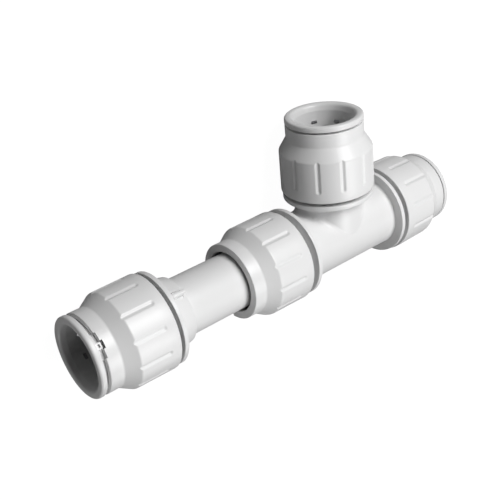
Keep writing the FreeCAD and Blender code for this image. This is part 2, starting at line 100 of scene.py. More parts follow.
def arm_axes(arm):
    """The turn that takes an arm's own axes to the frame's."""
    along = ARM_WAYS[arm]
    across = RUN_WAY if arm == "branch" else BRANCH_WAY
    turn = Matrix((across, along.cross(across), along)).transposed()
    return turn @ Matrix.Rotation(math.radians(NOTCH_ANGLES[arm]), 3, "Z")


def on_arm(arm, node, end):
    """The matrix of an arm with its zero at the inner or outer end of one of its nodes."""
    along = ARM_WAYS[arm]
    distances = [(corner - crossing).dot(along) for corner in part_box(node)]
    reach = max(distances) if end == "outer" else min(distances)
    return Matrix.Translation(crossing + along * reach) @ arm_axes(arm).to_4x4()


print("crossing at", [round(c / MM, 2) for c in crossing])

# %% [markdown]
# ## The camera
# The camera stands where the photograph's did. That place was found by fitting the projected edges
# of the fitting to the picture. Its own axes are written as the columns of its matrix: right, up and
# backwards.

# %% Camera
CAMERA_PLACE = (-0.17948, 0.14185, 0.24022)
CAMERA_RIGHT = Vector((0.76014, -0.09601, 0.64262))
CAMERA_UP = Vector((0.37003, 0.87695, -0.30667))
LENS = 60.72
SENSOR_WIDTH = 36.0
NEAREST_SEEN = 0.01
FARTHEST_SEEN = 20.0

camera_data = bpy.data.cameras.new("camera")
camera_data.lens = LENS
camera_data.sensor_width = SENSOR_WIDTH
camera_data.clip_start = NEAREST_SEEN
camera_data.clip_end = FARTHEST_SEEN
camera = bpy.data.objects.new("camera", camera_data)
scene.collection.objects.link(camera)
camera_axes = Matrix((CAMERA_RIGHT, CAMERA_UP, CAMERA_RIGHT.cross(CAMERA_UP))).transposed()
camera.matrix_world = Matrix.Translation(CAMERA_PLACE) @ camera_axes.to_4x4()
scene.camera = camera
scene.view_settings.view_transform = "Standard"
print("camera at", CAMERA_PLACE, "with a lens of", LENS, "mm")

# %% [markdown]
# ## Light
# White plastic shows its shape only by shade. In the photograph the light comes from the right
# and the front, the ends that face left are grey, and the rest is nearly white. Four square lamps,
# some way off, give such soft changes of shade, and a very weak grey world keeps the shadows open.

# %% World and lamps
LAMP_DISTANCE = 0.9
LAMP_SIDE = 0.42
# Azimuth and elevation in degrees, and power in watts. Azimuth zero is +X, and 90 is +Y.
LAMPS = {
    "key": (72, 48, 7.4),
    "top": (300, 70, 3.6),
    "left": (222, 8, 1.5),
    "low": (285, 28, 1.3),
}


def soft_lamp(name, azimuth, elevation, power):
    """A square lamp that shines on the fitting from one side."""
    data = bpy.data.lights.new(name, "AREA")
    data.energy = power
    data.size = LAMP_SIDE
    lamp = bpy.data.objects.new(name, data)
    scene.collection.objects.link(lamp)
    side, rise = math.radians(azimuth), math.radians(elevation)
    towards = Vector((math.cos(rise) * math.cos(side), math.cos(rise) * math.sin(side), math.sin(rise)))
    facing = towards.to_track_quat("Z", "Y").to_matrix().to_4x4()
    lamp.matrix_world = Matrix.Translation(towards * LAMP_DISTANCE) @ facing


for lamp_name, (azimuth, elevation, power) in LAMPS.items():
    soft_lamp(lamp_name, azimuth, elevation, power)

world = bpy.data.worlds.new("studio")
scene.world = world
world.use_nodes = True
world_nodes = world.node_tree.nodes
world_links = world.node_tree.links
WHITE = (1.0, 1.0, 1.0, 1.0)
AMBIENT = 0.008
backdrop_light = world_nodes["Background"]
backdrop_light.inputs["Color"].default_value = WHITE
seen_strength = world_nodes.new("ShaderNodeMapRange")
seen_strength.inputs["To Min"].default_value = AMBIENT
seen_strength.inputs["To Max"].default_value = 1.0
seen_path = world_nodes.new("ShaderNodeLightPath")
world_links.new(seen_path.outputs["Is Camera Ray"], seen_strength.inputs["Value"])
world_links.new(seen_strength.outputs["Result"], backdrop_light.inputs["Strength"])
print("lamps:", list(LAMPS), "ambient light:", AMBIENT)

# %% [markdown]
# ## The floor
# The fitting lies on the skirts of its caps, so the floor is the plane at zero. The camera sees it
# as pure white paper. A little of its real shading is mixed in, and that keeps the soft shadow.

# %% Floor
FLOOR_HALF = 3.0
SHADOW_SHARE = 0.3
PAPER_GLOW = 1.4
PAPER_SHADE = (0.25, 0.25, 0.25, 1.0)

floor_mesh = bpy.data.meshes.new("floor")
corners = [(x * FLOOR_HALF, y * FLOOR_HALF, 0) for x, y in ((-1, -1), (1, -1), (1, 1), (-1, 1))]
floor_mesh.from_pydata(corners, [], [(0, 1, 2, 3)])
floor = bpy.data.objects.new("floor", floor_mesh)
scene.collection.objects.link(floor)

paper = bpy.data.materials.new("paper")
paper.use_nodes = True
paper_nodes = paper.node_tree.nodes
paper_links = paper.node_tree.links
paper_nodes.clear()
paper_out = paper_nodes.new("ShaderNodeOutputMaterial")
paper_mix = paper_nodes.new("ShaderNodeMixShader")
paper_glow = paper_nodes.new("ShaderNodeEmission")
paper_shade = paper_nodes.new("ShaderNodeBsdfDiffuse")
paper_path = paper_nodes.new("ShaderNodeLightPath")
paper_share = paper_nodes.new("ShaderNodeMath")
paper_share.operation = "MULTIPLY"
paper_share.inputs[1].default_value = 1.0 - SHADOW_SHARE
paper_shade.inputs["Color"].default_value = PAPER_SHADE
paper_glow.inputs["Color"].default_value = WHITE
paper_glow.inputs["Strength"].default_value = PAPER_GLOW
paper_links.new(paper_path.outputs["Is Camera Ray"], paper_share.inputs[0])
paper_links.new(paper_share.outputs[0], paper_mix.inputs["Fac"])
paper_links.new(paper_shade.outputs[0], paper_mix.inputs[1])
paper_links.new(paper_glow.outputs[0], paper_mix.inputs[2])
paper_links.new(paper_mix.outputs[0], paper_out.inputs["Surface"])
floor_mesh.materials.append(paper)
print("floor side in metres:", 2 * FLOOR_HALF)

# %% [markdown]
# ## Plastic, rubber and steel
# The moulded plastic is plain white, yet it isn't one flat colour. It has a slight cloudiness from
# the way that it flowed into the mould, a satin roughness that changes a little from place to place,
# and a very fine grain. All of it comes from noise on Object coordinates, so that it stays on the
# piece when a cap turns.

# %% How a moulded finish is made
CLOUD_SCALE = 90.0
CLOUD_DETAIL = 3.0
CLOUD_SHADE = 0.97
GLOSS_SCALE = 260.0
GLOSS_SWING = 0.05
GRAIN_SCALE = 2600.0
GRAIN_HEIGHT = 0.00002
FINE_DETAIL = 2.0


def noise(tree, scale, detail, coordinates):
    """A noise value at each place."""
    node = tree.nodes.new("ShaderNodeTexNoise")
    node.inputs["Scale"].default_value = scale
    node.inputs["Detail"].default_value = detail
    tree.links.new(coordinates, node.inputs["Vector"])
    return node.outputs["Fac"]


def spread(tree, factor, low, high):
    """A factor stretched between two values."""
    node = tree.nodes.new("ShaderNodeMapRange")
    node.inputs["To Min"].default_value = low
    node.inputs["To Max"].default_value = high
    tree.links.new(factor, node.inputs["Value"])
    return node.outputs["Result"]


def moulded(name, shade, roughness, grain, metallic=0.0):
    """A moulded or pressed finish: cloudy colour, uneven gloss and fine grain."""
    material = bpy.data.materials.new(name)
    material.use_nodes = True
    tree = material.node_tree
    shader = tree.nodes["Principled BSDF"]
    place = tree.nodes.new("ShaderNodeTexCoord").outputs["Object"]
    cloud = noise(tree, CLOUD_SCALE, CLOUD_DETAIL, place)
    mix = tree.nodes.new("ShaderNodeMix")
    mix.data_type = "RGBA"
    mix.inputs["A"].default_value = (*[channel * CLOUD_SHADE for channel in shade], 1)
    mix.inputs["B"].default_value = (*shade, 1)
    tree.links.new(cloud, mix.inputs["Factor"])
    tree.links.new(mix.outputs["Result"], shader.inputs["Base Color"])
    patches = noise(tree, GLOSS_SCALE, FINE_DETAIL, place)
    gloss = spread(tree, patches, roughness - GLOSS_SWING, roughness + GLOSS_SWING)
    tree.links.new(gloss, shader.inputs["Roughness"])
    bump = tree.nodes.new("ShaderNodeBump")
    bump.inputs["Strength"].default_value = grain
    bump.inputs["Distance"].default_value = GRAIN_HEIGHT
    tree.links.new(noise(tree, GRAIN_SCALE, FINE_DETAIL, place), bump.inputs["Height"])
    tree.links.new(bump.outputs["Normal"], shader.inputs["Normal"])
    shader.inputs["Metallic"].default_value = metallic
    return material


print("grain height in millimetres:", GRAIN_HEIGHT / MM)

# %% The finishes
# Each has its shade, its roughness and the strength of its grain.
FINISHES = {
    "white_plastic": moulded("white_plastic", (0.72, 0.72, 0.72), 0.36, 0.25),
    "cap_plastic": moulded("cap_plastic", (0.72, 0.72, 0.72), 0.36, 0.25),
    "collet_plastic": moulded("collet_plastic", (0.70, 0.70, 0.70), 0.38, 0.25),
    "ring_plastic": moulded("ring_plastic", (0.20, 0.205, 0.21), 0.5, 0.3),
    "seal_rubber": moulded("seal_rubber", (0.012, 0.012, 0.012), 0.55, 0.4),
    "tooth_steel": moulded("tooth_steel", (0.45, 0.45, 0.47), 0.30, 0.2, metallic=1.0),
}
print("finishes:", list(FINISHES))

# %% [markdown]
# ## Drawing on a lathe
# Almost everything here is round. Such a piece is an outline, turned about an axis. The outline is a
# list of corners, each with its radius, its place along the axis and how much it is rounded. A
# moulding has no sharp outer corners, and the small rounds are what catch the light.

# %% Outlines with rounded corners
ROUND_STEPS = 4


def arc(centre, start, end, radius, steps):
    """Points on an arc about a centre, from one direction to another."""
    return [centre + start.slerp(end, step / steps) * radius for step in range(steps + 1)]


def rounded(corners, closed=True):
    """The outline's points, with an arc in place of each corner that has a round."""
    points = []
    count = len(corners)
    for index, (radius, along, size) in enumerate(corners):
        here = Vector((radius, along))
        if not size or (not closed and index in (0, count - 1)):
            points.append(here)
            continue
        before = Vector(corners[index - 1][:2]) - here
        after = Vector(corners[(index + 1) % count][:2]) - here
        half = before.angle(after) / 2
        reach = size / math.tan(half)
        start, end = before.normalized() * reach, after.normalized() * reach
        centre = (before.normalized() + after.normalized()).normalized() * size / math.sin(half)
        points += arc(here + centre, start - centre, end - centre, size, ROUND_STEPS)
    return points


print("steps in each round:", ROUND_STEPS)

# %% The lathe
COLUMNS = 160
ON_AXIS = 1e-9
MERGE_DISTANCE = 0.00001


def mesh_object(name, points, faces):
    """An object whose faces all point outwards."""
    mesh = bpy.data.meshes.new(name)
    mesh.from_pydata([tuple(p) for p in points], [], faces)
    shell = bmesh.new()
    shell.from_mesh(mesh)
    bmesh.ops.remove_doubles(shell, verts=shell.verts, dist=MERGE_DISTANCE)
    bmesh.ops.recalc_face_normals(shell, faces=shell.faces)
    shell.to_mesh(mesh)
    shell.free()
    item = bpy.data.objects.new(name, mesh)
    scene.collection.objects.link(item)
    return item


def turned(name, outline, angles=None):
    """Turn a closed outline of (radius, along) points about Z. Radius zero makes a pole."""
    if angles is None:
        angles = [2 * math.pi * step / COLUMNS for step in range(COLUMNS)]
    rows, columns = len(outline), len(angles)
    points = [(r * math.cos(a), r * math.sin(a), z) for r, z in outline for a in angles]
    faces = []
    for row in range(rows):
        upper = (row + 1) % rows
        if outline[row][0] < ON_AXIS and outline[upper][0] < ON_AXIS:
            continue
        for column in range(columns):
            beside = (column + 1) % columns
            low, high = row * columns, upper * columns
            faces.append((low + column, low + beside, high + beside, high + column))
    return mesh_object(name, points, faces)


print("columns of a turned piece:", COLUMNS)

# %% [markdown]
# ## Joining, cutting and putting in place
# What isn't round is a small box or a flat outline with its edges softened. Such solids are added to
# a turned piece, or cut out of it, with booleans. The result is baked to a plain mesh, so that no
# modifier is left on a piece when it starts to ride on a body.

# %% Boxes with soft edges
BEVEL_STEPS = 3


def soften(shell, round_by):
    """Round every edge of a mesh."""
    edges = list(shell.edges)
    bmesh.ops.bevel(shell, geom=edges, offset=round_by, segments=BEVEL_STEPS, profile=0.5, affect="EDGES")


def block(name, size, centre, round_by=0.0):
    """A box with its edges rounded."""
    shell = bmesh.new()
    bmesh.ops.create_cube(shell, size=1.0)
    bmesh.ops.scale(shell, vec=size, verts=shell.verts)
    bmesh.ops.translate(shell, vec=centre, verts=shell.verts)
    if round_by:
        soften(shell, round_by)
    mesh = bpy.data.meshes.new(name)
    shell.to_mesh(mesh)
    shell.free()
    item = bpy.data.objects.new(name, mesh)
    scene.collection.objects.link(item)
    return item


print("steps across a softened edge:", BEVEL_STEPS)


# %% Pieces joined and cut
def baked(item, name):
    """A plain mesh object from what an object's modifiers make; the first object goes."""
    settled = item.evaluated_get(bpy.context.evaluated_depsgraph_get())
    mesh = bpy.data.meshes.new_from_object(settled)
    mesh.name = name
    bpy.data.objects.remove(item)
    made = bpy.data.objects.new(name, mesh)
    scene.collection.objects.link(made)
    return made


def combined(name, base, added=(), cut=()):
    """One moulding from a base, the solids added to it and the solids cut out of it."""
    tools = [(tool, "UNION") for tool in added] + [(tool, "DIFFERENCE") for tool in cut]
    for tool, operation in tools:
        step = base.modifiers.new(operation.lower(), "BOOLEAN")
        step.operation = operation
        step.solver = "MANIFOLD"
        step.object = tool
    made = baked(base, name)
    for tool, _ in tools:
        bpy.data.objects.remove(tool)
    return made


print("ready to join and cut:", combined.__name__)

# %% Putting a piece in its place
SHARP_ANGLE = math.radians(32)


def settle(item, matrix, finish):
    """Put a piece drawn in millimetres in its place, in metres, with its finish and soft shading."""
    item.data.transform(matrix @ Matrix.Scale(MM, 4))
    item.data.materials.clear()
    item.data.materials.append(FINISHES[finish])
    item.data.shade_smooth()
    item.data.set_sharp_from_angle(angle=SHARP_ANGLE)
    return item


def dress(item, body, node):
    """Let a piece stand for a node and ride on its body."""
    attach(item, body)
    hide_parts(node)
    item.name = f"{node}_dressed"


print("edges shaded sharp from", round(math.degrees(SHARP_ANGLE)), "degrees")

# %% [markdown]
# ## Geometry Nodes for what repeats
# Flutes, finger slots, lugs and thread starts all repeat evenly round an axis. A short set of helpers
# builds such trees in the script. Each tree has named inputs for its sizes, and ends in Realize
# Instances and Set Material.

# %% Trees and their nodes
def new_tree(name, sizes):
    """A tree with a mesh input and one named input for each size."""
    tree = bpy.data.node_groups.new(name, "GeometryNodeTree")
    tree.interface.new_socket("Geometry", in_out="INPUT", socket_type="NodeSocketGeometry")
    for label, kind in sizes.items():
        tree.interface.new_socket(label, in_out="INPUT", socket_type=f"NodeSocket{kind}")
    tree.interface.new_socket("Geometry", in_out="OUTPUT", socket_type="NodeSocketGeometry")
    return tree, tree.nodes.new("NodeGroupInput").outputs


def node_in(tree, kind, inputs=(), **settings):
    """A node with its settings, and its inputs given as sockets or plain values."""
    made = tree.nodes.new(kind)
    for key, setting in settings.items():
        setattr(made, key, setting)
    for key, source in dict(inputs).items():
        if isinstance(source, bpy.types.NodeSocket):
            tree.links.new(source, made.inputs[key])
        else:
            made.inputs[key].default_value = source
    return made


def sums(tree, operation, first, second=0.0, third=0.0):
    """The result of one math node."""
    return node_in(tree, "ShaderNodeMath", {0: first, 1: second, 2: third}, operation=operation).outputs[0]


def hypotenuse(tree, first, second):
    """The root of the sum of two squares."""
    squares = sums(tree, "ADD", sums(tree, "POWER", first, 2.0), sums(tree, "POWER", second, 2.0))
    return sums(tree, "SQRT", squares)


print("ready to build trees:", new_tree.__name__, node_in.__name__)


# %% Repeating a shape, ending a tree and running it
def repeated_round(tree, geometry, count, first_turn=0.0):
    """Copies of a geometry evenly round Z."""
    turn = sums(tree, "DIVIDE", math.tau, count)
    index = node_in(tree, "GeometryNodeInputIndex").outputs[0]
    angle = sums(tree, "MULTIPLY", sums(tree, "ADD", index, first_turn), turn)
    rotation = node_in(tree, "ShaderNodeCombineXYZ", {"Z": angle}).outputs[0]
    points = node_in(tree, "GeometryNodePoints", {"Count": count}).outputs[0]
    placed = node_in(tree, "GeometryNodeInstanceOnPoints", {
        "Points": points, "Instance": geometry, "Rotation": rotation,
    })
    return node_in(tree, "GeometryNodeRealizeInstances", {"Geometry": placed.outputs[0]}).outputs[0]


def finish_tree(tree, geometry, material):
    """End a tree in Realize Instances and Set Material."""
    whole = node_in(tree, "GeometryNodeRealizeInstances", {"Geometry": geometry}).outputs[0]
    painted = node_in(tree, "GeometryNodeSetMaterial", {"Geometry": whole, "Material": material}).outputs[0]
    node_in(tree, "NodeGroupOutput", {"Geometry": painted})


def run_tree(item, tree, sizes):
    """Put a tree on an object with its sizes set by socket identifier, and bake it."""
    step = item.modifiers.new(tree.name, "NODES")
    step.node_group = tree
    sockets = {s.name: s.identifier for s in tree.interface.items_tree if s.in_out == "INPUT"}
    for label, size in sizes.items():
        step[sockets[label]] = size
    return baked(item, item.name)


print("ready to run trees:", repeated_round.__name__, finish_tree.__name__, run_tree.__name__)

# %% [markdown]
# ## The screw thread
# Each cap screws on a spigot. The real thread has several starts, because it closes in a quarter
# turn: it climbs 6 mm in a whole turn, so three ridges lie 2 mm apart. A ridge is a small section
# that follows a spiral, and the other two are the same ridge, turned. Next to the flange the spigot
# has a plain groove and no ridge, which is where the thread runs out, and the open gap under a cap
# looks into it.

# %% Thread ridges as a node tree
SPIRAL_STEPS = 96

thread_tree, thread_in = new_tree("screw_thread", {
    "Lead": "Float", "Starts": "Int", "Length": "Float", "Crest radius": "Float", "Depth": "Float",
    "Foot": "Float", "Top": "Float",
})
half_depth = sums(thread_tree, "MULTIPLY", thread_in["Depth"], 0.5)
spiral_radius = sums(thread_tree, "SUBTRACT", thread_in["Crest radius"], half_depth)
spiral = node_in(thread_tree, "GeometryNodeCurveSpiral", {
    "Resolution": SPIRAL_STEPS,
    "Rotations": sums(thread_tree, "DIVIDE", thread_in["Length"], thread_in["Lead"]),
    "Start Radius": spiral_radius,
    "End Radius": spiral_radius,
    "Height": thread_in["Length"],
})
upright = node_in(thread_tree, "GeometryNodeSetCurveNormal", {"Curve": spiral.outputs[0]}, mode="Z_UP")
ridge = node_in(thread_tree, "GeometryNodeCurvePrimitiveQuadrilateral", {
    "Bottom Width": thread_in["Foot"], "Top Width": thread_in["Top"],
    "Offset": 0.0, "Height": thread_in["Depth"],
}, mode="TRAPEZOID")
outward_ridge = node_in(thread_tree, "GeometryNodeTransform", {
    "Geometry": ridge.outputs[0], "Rotation": (0.0, 0.0, math.pi / 2),
})
swept = node_in(thread_tree, "GeometryNodeCurveToMesh", {
    "Curve": upright.outputs[0], "Profile Curve": outward_ridge.outputs[0], "Fill Caps": True,
})
all_starts = repeated_round(thread_tree, swept.outputs[0], thread_in["Starts"])
finish_tree(thread_tree, all_starts, FINISHES["white_plastic"])
print("nodes in the thread's tree:", len(thread_tree.nodes))

# %% The ridges of one spigot
THREAD_LEAD = 6.0
THREAD_STARTS = 3
THREAD_LENGTH = 12.8
THREAD_RELIEF = 3.4
THREAD_CREST = 16.15
THREAD_ROOT = 15.45
RIDGE_FOOT = 1.3
RIDGE_TOP = 0.7
RIDGE_SINK = 0.1


def thread_on(reach, turn_to):
    """The ridges of one spigot, whose flange ends at a distance from the crossing."""
    ridges = run_tree(mesh_object("thread", [], []), thread_tree, {
        "Lead": THREAD_LEAD,
        "Starts": THREAD_STARTS,
        "Length": THREAD_LENGTH - THREAD_RELIEF - RIDGE_FOOT,
        "Crest radius": THREAD_CREST,
        "Depth": THREAD_CREST - THREAD_ROOT + RIDGE_SINK,
        "Foot": RIDGE_FOOT,
        "Top": RIDGE_TOP,
    })
    first_height = reach + THREAD_RELIEF + RIDGE_FOOT / 2
    ridges.data.transform(turn_to @ Matrix.Translation((0, 0, first_height)))
    return ridges


print("thread starts:", THREAD_STARTS, "rise in a turn:", THREAD_LEAD)

# %% [markdown]
# ## The screw caps
# A cap is a fluted grip, a cone and a plain neck. The wall is turned on the lathe with many columns
# where a flute comes. Then a node tree presses the twelve flutes in: it measures how far each point
# is from the nearest flute's middle line, and pulls it in along a soft wave, so that the flute has no
# sharp edge. Last, it cuts a recess and the notch that the lug of the collet sits in, which is deeper
# inside the neck's wall. The cap of the sliding seal has no collet, and its lip is narrower, close
# round the tube.

# %% Cap outline
SKIRT_START = -0.2
SKIRT_RADIUS = 18.3
SKIRT_ROUND = 0.4
GRIP_RADIUS = 18.1
GRIP_LENGTH = 15.9
CONE_END = 20.9
CONE_ROUND = 1.3
NECK_RADIUS = 15.05
NECK_ROUND = 1.5
CAP_LENGTH = 26.1
COLLET_LIP = 13.1
LIP_START = 24.6
LIP_ROUND = 0.3
LIP_INNER_ROUND = 0.1
THROAT_RADIUS = 13.95
THROAT_LENGTH = 20.6
NOSE_LENGTH = 17.0
NOSE_BORE = 15.45
THREAD_BORE = 16.25
BORE_ROUND = 0.15


def cap_corners(lip_radius):
    """The cap's outline, with the bore of its lip, and a step behind a narrow lip."""
    step = [(COLLET_LIP, LIP_START, 0.0)] if lip_radius < COLLET_LIP else []
    outside = [
        (THREAD_BORE, SKIRT_START, BORE_ROUND),
        (SKIRT_RADIUS, SKIRT_START, SKIRT_ROUND),
        (GRIP_RADIUS, GRIP_LENGTH, CONE_ROUND),
        (NECK_RADIUS, CONE_END, NECK_ROUND),
        (NECK_RADIUS, CAP_LENGTH, LIP_ROUND),
        (lip_radius, CAP_LENGTH, LIP_ROUND),
        (lip_radius, LIP_START, LIP_INNER_ROUND),
    ]
    inside = [
        (THROAT_RADIUS, THROAT_LENGTH, 0.0),
        (THROAT_RADIUS, NOSE_LENGTH, 0.0),
        (NOSE_BORE, NOSE_LENGTH, 0.0),
        (NOSE_BORE, THREAD_LENGTH, 0.0),
        (THREAD_BORE, THREAD_LENGTH, 0.0),
    ]
    return outside + step + inside


print("cap corners:", len(cap_corners(COLLET_LIP)), "length in millimetres:", CAP_LENGTH - SKIRT_START)

# %% Rings and columns where the flutes come
FLUTES = 12
FLUTE_HALF_WIDTH = 1.25
FLUTE_START = 4.7
RING_STEP = 0.12
RING_MARGIN = 0.2
RINGS_BEFORE_CONE = 0.6
RINGS_INTO_CONE = 1.6
LEAST_SHARE = 0.001
FLUTE_COLUMNS = 20
LAND_COLUMNS = 5
FLUTE_SIDE = 0.1
flute_half = (FLUTE_HALF_WIDTH + FLUTE_SIDE) / GRIP_RADIUS
pitch = math.tau / FLUTES


def with_rings(points, start, end, step):
    """Extra points on the outside of an outline between two heights."""
    made = []
    for index, point in enumerate(points):
        made.append(point)
        after = points[(index + 1) % len(points)]
        low, high = max(start, point.y), min(end, after.y)
        if point.x < NECK_RADIUS or high - low < step or after.x < NECK_RADIUS:
            continue
        rings = int((high - low) / step)
        for ring in range(rings + 1):
            height = low + (high - low) * ring / rings
            share = (height - point.y) / (after.y - point.y)
            if LEAST_SHARE < share < 1 - LEAST_SHARE:
                made.append(point.lerp(after, share))
    return made


def cap_outline(lip_radius):
    """The rounded outline, with rings where the flutes start and end."""
    outline = rounded(cap_corners(lip_radius))
    flute_foot = FLUTE_START - FLUTE_HALF_WIDTH - RING_MARGIN
    outline = with_rings(outline, flute_foot, FLUTE_START + RING_MARGIN / 2, RING_STEP)
    return with_rings(outline, GRIP_LENGTH - RINGS_BEFORE_CONE, GRIP_LENGTH + RINGS_INTO_CONE, RING_STEP)


def cap_angles():
    """Columns that are close together in the flutes and far apart between them."""
    angles = []
    for flute in range(FLUTES):
        centre = pitch * (flute + 0.5)
        for step in range(FLUTE_COLUMNS):
            angles.append(centre - flute_half + 2 * flute_half * step / FLUTE_COLUMNS)
        for step in range(LAND_COLUMNS):
            angles.append(centre + flute_half + (pitch - 2 * flute_half) * step / LAND_COLUMNS)
    return angles


print("cap outline points:", len(cap_outline(COLLET_LIP)), "columns:", len(cap_angles()))

# %% The tree that presses flutes and cuts the notch
cap_tree, cap_in = new_tree("fluted_cap", {
    "Flutes": "Int", "Depth": "Float", "Half width": "Float", "Start": "Float", "Grip radius": "Float",
    "Recess size": "Vector", "Recess place": "Vector", "Notch size": "Vector", "Notch place": "Vector",
    "Pocket size": "Vector", "Pocket place": "Vector",
})


def flute_press(tree, sizes):
    """The place of each point of the cap, once the flutes are pressed in."""
    spot = node_in(tree, "GeometryNodeInputPosition").outputs[0]
    x, y, z = node_in(tree, "ShaderNodeSeparateXYZ", {0: spot}).outputs
    radius = hypotenuse(tree, x, y)
    flute_pitch = sums(tree, "DIVIDE", math.tau, sizes["Flutes"])
    within = sums(tree, "WRAP", sums(tree, "ARCTAN2", y, x), flute_pitch, 0.0)
    off_middle = sums(tree, "SUBTRACT", within, sums(tree, "MULTIPLY", flute_pitch, 0.5))
    beside = sums(tree, "MULTIPLY", sums(tree, "SINE", off_middle), radius)
    before = sums(tree, "MAXIMUM", sums(tree, "SUBTRACT", sizes["Start"], z), 0.0)
    away = hypotenuse(tree, beside, before)
    share = sums(tree, "MINIMUM", sums(tree, "DIVIDE", away, sizes["Half width"]), 1.0)
    wave = sums(tree, "MULTIPLY_ADD", sums(tree, "COSINE", sums(tree, "MULTIPLY", share, math.pi)), 0.5, 0.5)
    cone_drop = sums(tree, "MAXIMUM", sums(tree, "SUBTRACT", sizes["Grip radius"], radius), 0.0)
    left = sums(tree, "SUBTRACT", sums(tree, "MULTIPLY", wave, sizes["Depth"]), cone_drop)
    pull = sums(tree, "DIVIDE", sums(tree, "MAXIMUM", left, 0.0), radius)
    kept = sums(tree, "SUBTRACT", 1.0, pull)
    return node_in(tree, "ShaderNodeCombineXYZ", {
        "X": sums(tree, "MULTIPLY", x, kept), "Y": sums(tree, "MULTIPLY", y, kept), "Z": z,
    }).outputs[0]


fluted = node_in(cap_tree, "GeometryNodeSetPosition", {
    "Geometry": cap_in["Geometry"], "Position": flute_press(cap_tree, cap_in),
}).outputs[0]


def cutter_block(tree, size, place):
    """A box inside a node tree."""
    cube = node_in(tree, "GeometryNodeMeshCube", {"Size": size}).outputs[0]
    return node_in(tree, "GeometryNodeTransform", {"Geometry": cube, "Translation": place}).outputs[0]


def cut_away(tree, geometry, tools):
    """The geometry without the tools."""
    cut = node_in(tree, "GeometryNodeMeshBoolean", {0: geometry}, operation="DIFFERENCE", solver="MANIFOLD")
    for tool in tools:
        tree.links.new(tool, cut.inputs[1])
    return cut.outputs[0]


notched = fluted
for cut in ("Recess", "Notch", "Pocket"):
    tool = cutter_block(cap_tree, cap_in[f"{cut} size"], cap_in[f"{cut} place"])
    notched = cut_away(cap_tree, notched, [tool])
finish_tree(cap_tree, notched, FINISHES["cap_plastic"])

print("nodes in the cap's tree:", len(cap_tree.nodes))

# %% Sizes of the flutes, the recess and the notch
FLUTE_DEPTH = 0.42
RECESS_WIDTH = 9.2
RECESS_DEPTH = 0.7
NOTCH_WIDTH = 3.0
NOTCH_DEPTH = 1.5
POCKET_DEPTH = 2.5
POCKET_RADIUS = 14.7
CUT_REACH = 20.0
CUT_START = 9.0


def notch_box(width, depth, reach):
    """Size and place of a cutter in the neck's end on the +X side, out to a radius."""
    return (reach - CUT_START, width, 2 * depth), ((CUT_START + reach) / 2, 0.0, CAP_LENGTH)


cap_cuts = {
    "Recess": notch_box(RECESS_WIDTH, RECESS_DEPTH, CUT_REACH),
    "Notch": notch_box(NOTCH_WIDTH, NOTCH_DEPTH, CUT_REACH),
    "Pocket": notch_box(NOTCH_WIDTH, POCKET_DEPTH, POCKET_RADIUS),
}
cap_sizes = {
    "Flutes": FLUTES, "Depth": FLUTE_DEPTH, "Half width": FLUTE_HALF_WIDTH, "Start": FLUTE_START,
    "Grip radius": GRIP_RADIUS,
}
for cut, (size, place) in cap_cuts.items():
    cap_sizes[f"{cut} size"] = size
    cap_sizes[f"{cut} place"] = place
print("inputs of the cap's tree:", list(cap_sizes))

# %% A cap on each arm
SLIDE_LIP = 12.0

for arm in ARM_WAYS:
    lip_radius = SLIDE_LIP if arm == "slide_seal" else COLLET_LIP
    wall = turned(f"{arm}_cap_moulding", cap_outline(lip_radius), cap_angles())
    cap = run_tree(wall, cap_tree, cap_sizes)
    settle(cap, on_arm(arm, f"{arm}_cap", "inner"), "cap_plastic")
    dress(cap, f"{arm}_screw_cap", f"{arm}_cap")
    print(arm, "cap faces:", len(cap.data.polygons))

# %% [markdown]
# ## The spigots and their flanges
# Behind each cap is a flange with a spigot: thread, nose, socket, pipe stop and the seat of the seal.
# The tee has three of them and the tail has one, all alike, so short functions give the outside, the
# inside and the bore cutter of any of them as corners for the lathe.

# %% Outline corners of a spigot
FLANGE_RADIUS = 17.75
FLANGE_THICKNESS = 1.8
FLANGE_ROUND = 0.25
RELIEF_RADIUS = 13.4
RELIEF_ROUND = 0.2
NOSE_RADIUS = 15.35
NOSE_ROUND = 0.4
SOCKET_RADIUS = 11.15
SOCKET_DEPTH = 9.45
SEAL_BORE = 14.25
SEAT_ROUND = 0.15
OVER = 1.0  # how far a cutter stands past what it cuts


def spigot_outside(reach):
    """From the back of the flange to the rim of the nose."""
    return [
        (FLANGE_RADIUS, reach - FLANGE_THICKNESS, FLANGE_ROUND),
        (FLANGE_RADIUS, reach, FLANGE_ROUND),
        (RELIEF_RADIUS, reach, RELIEF_ROUND),
        (RELIEF_RADIUS, reach + THREAD_RELIEF, RELIEF_ROUND),
        (THREAD_ROOT, reach + THREAD_RELIEF, 0.0),
        (THREAD_ROOT, reach + THREAD_LENGTH, 0.0),
        (NOSE_RADIUS, reach + THREAD_LENGTH, 0.0),
        (NOSE_RADIUS, reach + NOSE_LENGTH, NOSE_ROUND),
    ]


def spigot_inside(reach):
    """From the rim of the nose down to the pipe stop."""
    return [
        (SEAL_BORE, reach + NOSE_LENGTH, SEAT_ROUND),
        (SEAL_BORE, reach + SOCKET_DEPTH, 0.0),
        (SOCKET_RADIUS, reach + SOCKET_DEPTH, SEAT_ROUND),
        (SOCKET_RADIUS, reach, 0.0),
    ]


def spigot_bore(reach):
    """A cutter for the bore, from the pipe stop out past the rim."""
    past_rim = reach + NOSE_LENGTH + OVER
    return [
        (SOCKET_RADIUS, reach, 0.0),
        (SOCKET_RADIUS, reach + SOCKET_DEPTH, 0.0),
        (SEAL_BORE, reach + SOCKET_DEPTH, 0.0),
        (SEAL_BORE, past_rim, 0.0),
        (0.0, past_rim, 0.0),
    ]


print("corners outside and inside a spigot:", len(spigot_outside(0)), len(spigot_inside(0)))

